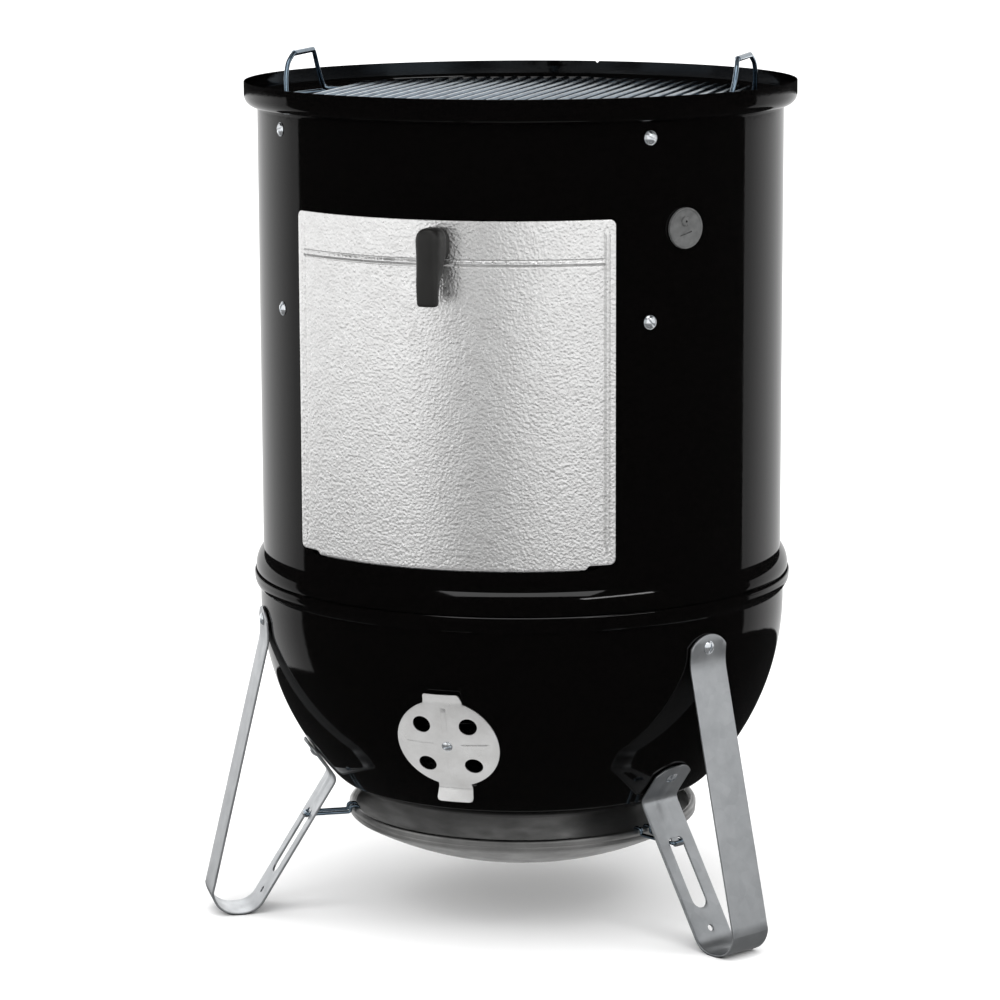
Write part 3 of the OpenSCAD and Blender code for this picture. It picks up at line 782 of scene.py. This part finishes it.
def make_door(material):
    """Embossed curved door: creases, rounded corners, a dropped bottom edge and the lip behind the sill."""
    r_out, t = BARREL_R + 1.7, 1.0
    half, top = 181.0, 770.0
    low_edge, high_edge, corner = 414.5, 418.5, 6.0

    columns = [-half + 2 * half * i / 200 for i in range(201)]
    near_edge = [0.4, 0.8, 2.2, 3.7] + [5.5 + 0.4 * k for k in range(20)]
    columns += [s * (half - d) for s in (-1, 1) for d in near_edge]
    columns.sort()
    rows = [i / 160 for i in range(161)] + [0.0006, 0.0012, 0.003, 0.9994, 0.9988, 0.997]
    rows += [(722 + 0.5 * k - low_edge) / (top - low_edge) for k in range(21)]
    rows = sorted(set(rows))

    def bottom(u):
        rise = min(1, max(0, (abs(u) - 154) / 5))
        return low_edge + (high_edge - low_edge) * rise * rise * (3 - 2 * rise)

    def shrink(dz):
        """How far a rounded corner pulls the side edge in, dz from the end."""
        return 0.0 if dz >= corner else corner - math.sqrt(max(corner ** 2 - (corner - dz) ** 2, 0))

    bm = bmesh.new()
    faces = {}
    for level, inset in (("outer", 0.0), ("inner", t)):
        grid = []
        for row in rows:
            line = []
            for u in columns:
                z = bottom(u) + (top - bottom(u)) * row
                pull = max(shrink(z - high_edge) if z - high_edge < corner else 0, shrink(top - z))
                x = u * (half - pull) / half
                edge = min(half - abs(u), z - bottom(u), top - z)
                soft = 0.35 * bell(edge, 0.8) if level == "outer" else 0
                r = r_out - inset + door_relief(x, z) - soft
                line.append(bm.verts.new(round_about(math.degrees(x / BARREL_R), r, z)))
            grid.append(line)
        faces[level] = grid
        for lower, upper in zip(grid, grid[1:]):
            for i in range(len(columns) - 1):
                quad = (lower[i], lower[i + 1], upper[i + 1], upper[i])
                bm.faces.new(quad if level == "outer" else quad[::-1])
    outer, inner = faces["outer"], faces["inner"]
    border = [outer[0], [row[-1] for row in outer], outer[-1][::-1], [row[0] for row in outer][::-1]]
    inside = [inner[0], [row[-1] for row in inner], inner[-1][::-1], [row[0] for row in inner][::-1]]
    for a, b in zip(border, inside):
        for i in range(len(a) - 1):
            bm.faces.new((a[i + 1], a[i], b[i], b[i + 1]))

    lip = rounded([(r_out - 1.4, low_edge + 0.5), (275.7, low_edge + 0.5), (275.7, 405)], 1.6, 4)
    span = 29.5
    revolve(bm, sheet([tuple(p) for p in lip], t, 0.2), 60, -span, span)
    piece("door_panel", bm, "door", material, ["access_door"])


def super_ring(centre, half_x, half_y, power, sides=44):
    """Points of a rounded rectangle about a centre. Power 1 is an ellipse and 0 has square corners."""
    points = []
    for j in range(sides):
        a = 360 * (j + 0.5) / sides
        c, s = cosd(a), sind(a)
        points.append((centre[0] + math.copysign(abs(c) ** power, c) * half_x,
                       centre[1] + math.copysign(abs(s) ** power, s) * half_y))
    return points


def loft(bm, rings):
    """A closed skin over the rings of points."""
    made = [[bm.verts.new(p) for p in ring] for ring in rings]
    n = len(made[0])
    for here, there in zip(made, made[1:]):
        for j in range(n):
            k = (j + 1) % n
            bm.faces.new((here[j], here[k], there[k], there[j]))
    bm.faces.new(made[0][::-1])
    bm.faces.new(made[-1])


def make_lever(material):
    """The latch's drooping nylon grip: a full rounded head on a neck, thinning towards its blunt tip."""
    top, bottom = 764.5, 687.0
    near, far, front = -(BARREL_R + 4), -(BARREL_R + 27), -320
    rings = []
    for i in range(61):
        z = top - (top - bottom) * (0.5 - 0.5 * cosd(180 * i / 60))
        down = (top - z) / (top - bottom)
        head = max(0.0, 1 - (top - z) / 13)
        tail = max(0.0, 1 - (z - bottom) / 3.5)
        roof = math.sqrt(max(1 - head ** 2, 0.0))
        toe = math.sqrt(max(1 - tail ** 2, 0.0))
        half_x = (13.6 - 3.0 * down) * (0.30 + 0.70 * roof) - 2.6 * (1 - toe)
        y_front = front + 1.6 * down + 5.5 * (1 - roof) + 2.2 * (1 - toe)
        away = min(1, max(0, (739 - z) / 36))
        y_back = near + (far - near) * away * away * (3 - 2 * away) - 1.0 * (1 - toe) - 9 * (1 - roof)
        ring = super_ring((0, (y_front + y_back) / 2), max(half_x, 0.3), (y_back - y_front) / 2, 0.58)
        rings.append([(x, y, z) for x, y in ring])
    bm = bmesh.new()
    loft(bm, rings)
    neck = []
    neck_sizes = ((-281.6, 12.4, 16.2), (-282.4, 12.9, 16.8), (-284.0, 12.4, 16.4),
                  (-290, 11.4, 15.2), (-300, 11.2, 15.0), (-310, 11.0, 14.6))
    for y, half_x, half_z in neck_sizes:
        neck.append([(x, y, z) for x, z in super_ring((0, 746), half_x, half_z, 0.7)])
    loft(bm, neck)
    piece("lever_grip", bm, "latch", material, ["latch_lever"], crease=50)


def make_grommet(material):
    """Round plug with a raised rim, a nub with the cable's hole and a slanted slit."""
    azimuth, z = GROMMET
    local = on_barrel(azimuth, z)
    r, base = GROMMET_R, BARREL_R + 0.3
    inside = [(0, base - 5.4), (r - 3.2, base - 5.4), (r - 3.0, base - 4.4), (r - 5.4, base - 2.6)]
    flange = [(r - 5.4, base - 0.2), (r - 0.3, base - 0.2), (r, base + 0.4), (r, base + 2.4)]
    rim = [(r - 0.3, base + 3.3), (r - 1.0, base + 3.7), (r - 1.8, base + 3.4), (r - 2.6, base + 2.7)]
    face = [(r - 4.0, base + 2.5), (0, base + 2.5)]
    bm = bmesh.new()
    revolve(bm, inside + flange + rim + face, 96, to_frame=local)
    nub = local @ Matrix.Translation((-7, -0.8, 0))
    dome = [(0, base + 1), (5.2, base + 1)] + arc((3.4, base + 2.9), 1.6, -20, 90, 5) + [(0, base + 4.7)]
    revolve(bm, dome, 40, to_frame=nub)
    holes = bmesh.new()
    rod_mesh(holes, nub, 1.2, base - 12, base + 12, 24)
    slit = local @ Matrix.Translation((5.5, 0, base + 2.6)) @ Matrix.Rotation(math.radians(14), 4, "Z")
    box_mesh(holes, (0, 0, 0), (1.5, 15, 2.8), slit)
    piece("grommet_plug", bm, "middle", material, ["probe_grommet"], holes, overlapping=True)


# ---------------------------------------------------------------- screws

def slotted_heads(name, places, r, height, shank, body, material, node, turns):
    """Domed round heads with a driver's slot, each turned by its own angle."""
    bm = bmesh.new()
    holes = bmesh.new()
    ball = (r * r + height * height) / (2 * height)
    reach = math.degrees(math.asin(min(r / ball, 1)))
    dome = arc((0, height - ball), ball, 90 - reach + 3, 90, 9)
    outline = [(0, -shank), (2.6, -shank), (3, 0.4 - shank), (3, -0.02), (r - 0.3, -0.02), (r, 0.5)] + dome
    for (matrix, seat), turn in zip(places, turns):
        here = matrix @ Matrix.Translation((0, 0, seat)) @ Matrix.Rotation(math.radians(turn), 4, "Z")
        revolve(bm, outline, 48, to_frame=here)
        box_mesh(holes, (0, 0, height - 0.5), (1.8, 2.2 * r, 3.4), here)
    piece(name, bm, body, material, [node], holes)


def make_screws(material):
    """The three groups of slotted screws."""
    straps = [(on_barrel(a, z), BARREL_R + 0.1) for a in STRAP_AZIMUTHS for z in STRAP_SCREW_Z]
    slotted_heads("strap_screw_heads", straps, 7.2, 3.4, 10, "middle", material, "strap_screws",
                  (152, 128, 20, 75, 110, 40, 17, 60))
    legs = [(on_bowl(a, dip), 285.8) for a in LEG_AZIMUTHS.values() for dip in LEG_SCREW_DIPS]
    slotted_heads("leg_screw_heads", legs, 7.2, 3.4, 14, "base", material, "leg_screws",
                  (75, 35, 20, 60, 150, 100))
    dampers = [(on_bowl(a, DAMPER_DIP), 284.6) for a in DAMPER_AZIMUTHS.values()]
    slotted_heads("damper_screw_heads", dampers, 5.6, 2.6, 12, "base", material, "damper_screws",
                  (15, 50, 120))


# ---------------------------------------------------------------- bowl, dampers, heat shield

AIR_HOLES = [(35.4 * cosd(a), 35.4 * sind(a)) for a in (45, 135, 225, 315)]


def make_bowl(material):
    """Rolled lip, round wall, lower shoulder and shallow floor, with twelve air holes."""
    h = SHEET / 2
    dip, shoulder_r, floor_dip = 42.8, 44, 70.1
    centre = ((BOWL_R - shoulder_r) * cosd(dip), BOWL_Z - (BOWL_R - shoulder_r) * sind(dip))
    floor_r = shoulder_r + centre[0] / cosd(floor_dip)
    floor_z = centre[1] + (floor_r - shoulder_r) * sind(floor_dip)
    path = arc((286.7, 365.4), 2.0, 200, -20, 10)
    path += arc((273.3, 362), 16 - h, 4, -54, 10)
    path += arc((0, BOWL_Z), BOWL_R - h, -0.5, -dip, 34)
    path += arc(centre, shoulder_r - h, -dip - 3, -floor_dip, 9)
    path += arc((0, floor_z), floor_r - h, -floor_dip - 2, -89, 14)
    outline = [(max(r, 0), z) for r, z in sheet(path + [(0.0, floor_z - floor_r + h)], SHEET)]
    bm = bmesh.new()
    revolve(bm, outline, 288)
    holes = bmesh.new()
    for azimuth in DAMPER_AZIMUTHS.values():
        for x, y in AIR_HOLES:
            local = on_bowl(azimuth, DAMPER_DIP) @ Matrix.Translation((x, y, 0))
            rod_mesh(holes, local, AIR_HOLE_R, 255, 300, 40)
    piece("bowl_shell", bm, "base", material, ["bowl"], holes, normals=bowl_normal)


def damper_outline():
    """The flat blank: a disc with a short tab above and a longer one below. +X is down."""
    r = 54.8
    outline = [(69, -19.5), (71.5, -18.6), (72.5, -16), (72.5, 16), (71.5, 18.6), (69, 19.5)]
    edge = math.degrees(math.asin(18 / r))
    outline += [(r * cosd(edge) + 1, 18)]
    other = math.degrees(math.asin(21.5 / r))
    outline += arc((0, 0), r, edge, 180 - other, 60)
    outline += [(-62, 19.5), (-64.5, 17.5), (-64.5, -17.5), (-62, -19.5)]
    outline += arc((0, 0), r, 180 + other, 360 - edge, 60)
    outline += [(r * cosd(edge) + 1, -18)]
    return outline


def make_damper(name, azimuth, material):
    """Thin cap over the air holes: pressed ribs between the holes and two tabs bent outwards."""
    hole = [arc(centre, AIR_HOLE_R, 0, 351, 39) for centre in AIR_HOLES]
    pivot = [(3.1 * cosd(a), 3.1 * sind(a)) for a in range(0, 360, 20)]
    lines = sorted([-76 + 2 * i for i in range(77)] + [0.6 * i for i in range(-8, 9)])
    bm = flat_plate(damper_outline(), hole + [pivot], 1.2, 0.3, lines, lines)
    seat = BOWL_R + 0.9
    local = on_bowl(azimuth, DAMPER_DIP)
    for v in bm.verts:
        x, y, up = v.co
        rib = 0.0
        for along, across in ((abs(x), y), (abs(y), x)):
            ends = min(1, max(0, (along - 13) / 4)) * min(1, max(0, (46 - along) / 4))
            rib = max(rib, min(1, max(0, (3.4 - abs(across)) / 1.2)) * ends)
        bend_at, bend = (53.5, 15) if x < 0 else (57.0, 36)
        past = max(0, abs(x) - bend_at)
        inner = min(abs(x), bend_at)
        flat_x = math.copysign(inner + past * cosd(bend), x)
        height = math.sqrt(seat ** 2 - inner ** 2 - y ** 2) + past * sind(bend)
        v.co = local @ Vector((flat_x, y, height + up + 0.7 * rib))
    body = name.replace("damper_", "") + "_damper"
    piece(name + "_plate", bm, body, material, [name], crease=40)


def make_heat_shield(material):
    """Shallow spun dish with a rolled rim."""
    r, z, ball = 190, 104, 386
    path = [(r - 7.5, z + 0.6)] + arc((r - 3.6, z + 0.4), 3.0, 190, 10, 10)
    path += [(r - 0.7, z - 2.2), (r - 1.4, z - 3.4), (r - 0.9, z - 4.6), (r - 1.2, z - 7.4)]
    start = math.degrees(math.acos((r - 3) / ball))
    path += arc((0, z - 58 + ball), ball - 0.5, -start, -89, 40)
    outline = [(max(x, 0), y) for x, y in sheet(path + [(0.0, z - 58 + 0.5)], 1.0, 0.2)]
    bm = bmesh.new()
    revolve(bm, outline, 240)
    piece("heat_shield_dish", bm, "base", material, ["heat_shield"])


def make_hooks(material):
    """Spring wire loops from the legs' tongues over the dish's rim."""
    out_r, out_z, side = 241.4, 102.8, 7
    over = 104 + 2.2 + 3
    bm = bmesh.new()
    for azimuth in LEG_AZIMUTHS.values():
        path = []
        for s in (-1, 1):
            leg = [(184, s * side, over - 9), (184, s * side, over), (193, s * side, over),
                   (193, s * side, out_z), (out_r, s * side, out_z)]
            path += leg if s < 0 else leg[::-1]
        points = [round_about(azimuth, r, z, across) for r, across, z in path]
        tube(bm, rounded(points, 3.2, 5), 2.0, 14)
    piece("shield_hook_wires", bm, "base", material, ["heat_shield_hooks"], crease=60)


# ---------------------------------------------------------------- legs

LEG_W = 51
LEG_T = 2.5
FOOT_R = 27
SLOPE = 32


def touch(dip, s):
    """The point s below the screw at that dip, on the strap that lies against the bowl; as (r, z)."""
    seat = BOWL_R + 0.3 + LEG_T / 2
    return (seat * cosd(dip) - s * sind(dip), BOWL_Z - seat * sind(dip) - s * cosd(dip))


def leg_path():
    """The middle of the bent strap as (r, z), from its top end round the foot to the tab under the bowl."""
    top_dip, low_dip = LEG_SCREW_DIPS
    low_bend = touch(low_dip, 33)
    toe_z = LEG_T / 2 + FOOT_R
    toe_in = (low_bend[0] + (low_bend[1] - toe_z + FOOT_R * sind(SLOPE)) * math.tan(math.radians(SLOPE)),
              toe_z - FOOT_R * sind(SLOPE))
    toe_r = toe_in[0] + FOOT_R * cosd(SLOPE)
    heel = arc((toe_r + 5, toe_z), FOOT_R, -5, -5, 1)[0]
    path = rounded([touch(top_dip, -14), touch(top_dip, 18), heel], 9, 6)
    path += [Vector(p) for p in arc((toe_r + 5, toe_z), FOOT_R, -8, -90, 16)]
    path += [Vector(p) for p in arc((toe_r, toe_z), FOOT_R, -90, -180 + SLOPE, 12)]
    path += rounded([toe_in, low_bend, touch(low_dip, -18)], 7, 6)[1:]
    return path, low_bend


def strap_end(tip, inward):
    """The strap's rounded end at length tip; inward is 1 where the strap starts and -1 where it ends."""
    r, half = 31.5, LEG_W / 2
    reach = math.degrees(math.asin(half / r))
    if inward > 0:
        return arc((tip + r, 0), r, 180 + reach, 180 - reach, 14)
    return arc((tip - r, 0), r, reach, -reach, 14)


def make_leg(name, azimuth, material):
    """A strap bent round the foot, with a slot, a small hole, a curled tongue and rounded ends."""
    path, low_bend = leg_path()
    lengths = [0.0]
    for a, b in zip(path, path[1:]):
        lengths.append(lengths[-1] + (b - a).length)
    total = lengths[-1]
    at_bend = min(zip(path, lengths), key=lambda p: (p[0] - Vector(low_bend)).length)[1]

    def on_path(s):
        i = max(0, min(len(lengths) - 2, next((k for k, x in enumerate(lengths) if x > s), len(lengths)) - 1))
        t = (s - lengths[i]) / (lengths[i + 1] - lengths[i])
        return path[i] + (path[i + 1] - path[i]) * t

    near, far, half = at_bend - 45, at_bend - 124, 10
    slot = arc((far + half, 0), half, 90, 270, 16) + rounded_corner(near, half)
    hole = arc((at_bend - 147, 0), 3.5, 0, 342, 19)
    outline = strap_end(0, 1) + strap_end(total, -1)
    bends = lengths[1:-1] + [total * i / 60 for i in range(1, 60)]
    lines = sorted(set(round(x, 3) for x in bends))
    bm = flat_plate(outline, [slot, hole], LEG_T, 0.55, lines, (-12, -4, 0, 4, 12))
    for v in bm.verts:
        s, across, up = v.co
        crease = 1.1 * bell(across, 9) * min(1, max(0, (s - at_bend + 30) / 14))
        p = on_path(min(max(s, 0), total))
        along = (on_path(min(s + 0.6, total)) - on_path(max(s - 0.6, 0))).normalized()
        out = Vector((-along.y, along.x))
        r, z = p + out * (up - crease)
        v.co = round_about(azimuth, r, z, across)
    curl = [(0, 0), (0, 7)] + [(-3.1 + 3.1 * cosd(a), 11 + 3.1 * sind(a)) for a in range(0, 161, 16)]
    down = Vector((sind(SLOPE), -cosd(SLOPE)))
    inner = Vector((-cosd(SLOPE), -sind(SLOPE)))
    outline = [tuple(Vector(low_bend) + down * (41 + b) + inner * a) for a, b in curl]
    add_strip(bm, sheet(outline, 1.6, 0.3), 4.5, azimuth)
    piece(name + "_strap", bm, "base", material, [name])


def rounded_corner(near, half, r=4):
    """The slot's square upper end with rounded corners."""
    return arc((near - r, -half + r), r, -90, 0, 5) + arc((near - r, half - r), r, 0, 90, 5)


def add_strip(bm, outline, half, azimuth):
    """An outline of (r, z) pushed out sideways by half each way."""
    sides = [[bm.verts.new(round_about(azimuth, r, z, s * half)) for r, z in outline] for s in (-1, 1)]
    n = len(outline)
    for i in range(n):
        k = (i + 1) % n
        bm.faces.new((sides[0][i], sides[0][k], sides[1][k], sides[1][i]))
    bm.faces.new(sides[0][::-1])
    bm.faces.new(sides[1])


# ---------------------------------------------------------------- top grate

GRATE_TURN = Matrix.Rotation(math.radians(3), 4, "Z")


def make_top_grate(material):
    """Ring, thirty-one round-ended bars and two cross wires."""
    ring_r, ring_z, bar_z, pitch = 269.5, 867.7, 873.2, 14.4
    bm = bmesh.new()
    ring = [Vector((ring_r * cosd(a), ring_r * sind(a), ring_z)) for a in range(0, 360, 3)]
    tube(bm, [GRATE_TURN @ p for p in ring], 3.5, 14, True)
    for i in range(-15, 16):
        x = i * pitch
        half = math.sqrt(ring_r ** 2 - x * x) + 1.5
        ends = [(x, -half, bar_z - 0.8), (x, -half + 2, bar_z), (x, half - 2, bar_z), (x, half, bar_z - 0.8)]
        tube(bm, [GRATE_TURN @ Vector(p) for p in ends], 3.0, 14)
    for y in (-95, 95):
        half = math.sqrt(ring_r ** 2 - y * y)
        tube(bm, [GRATE_TURN @ Vector(p) for p in ((-half, y, ring_z), (half, y, ring_z))], 3.0, 14)
    piece("top_grate_wires", bm, "cooking_grate_top", material, ["top_grate"], crease=60)


def make_handle(side, material):
    """Wire handle that stands at the grate's edge: thin uprights and a thicker top bar."""
    base_z, top_z = 873.2, 918
    path = [(219, 68, base_z), (239, 68, base_z), (242.5, 58, 894), (243, 49, 909), (241, 36, top_z),
            (241, -36, top_z), (243, -49, 909), (242.5, -58, 894), (239, -68, base_z), (219, -68, base_z)]
    points = [GRATE_TURN @ Vector((side * x, y, z)) for x, y, z in path]
    bm = bmesh.new()
    tube(bm, rounded(points, 6, 6), 2.5, 14)
    grip = [GRATE_TURN @ Vector((side * 241, y, top_z)) for y in (-33, -31, 31, 33)]
    tube(bm, grip, 3.1, 16)
    name = "left" if side < 0 else "right"
    piece("handle_wire_" + name, bm, "cooking_grate_top", material, ["top_grate_handle_" + name],
          crease=60)


# ---------------------------------------------------------------- all together

def give(material, *nodes):
    """A better material for CAD nodes that keep their shape."""
    for node in nodes:
        dress(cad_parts[node], material)


make_camera()
make_light()

black = enamel()
stucco = stucco_aluminium()
stamped = smooth_aluminium()
spangled = galvanised()
bright = zinc()
wire = plated_wire()
steel = plain_steel()
nylon = black_nylon()

make_barrel(black)
make_bowl(black)
make_door(stucco)
make_lever(nylon)
make_grommet(silicone())
make_screws(bright)
for damper, where in DAMPER_AZIMUTHS.items():
    make_damper(damper, where, stamped)
for leg, where in LEG_AZIMUTHS.items():
    make_leg(leg, where, spangled)
make_heat_shield(spun_aluminium())
make_hooks(wire)
make_top_grate(wire)
make_handle(-1, wire)
make_handle(1, wire)
give(black, "water_pan")
give(wire, "lower_grate")
give(steel, "charcoal_ring", "charcoal_grate")
give(bright, "damper_nuts", "leg_nuts", "strap_nuts", "latch_spindle", "latch_cam", "latch_screw")
give(spangled, "charcoal_bracket_right", "charcoal_bracket_rear", "charcoal_bracket_left",
     "grate_strap_1", "grate_strap_2", "grate_strap_3", "grate_strap_4")
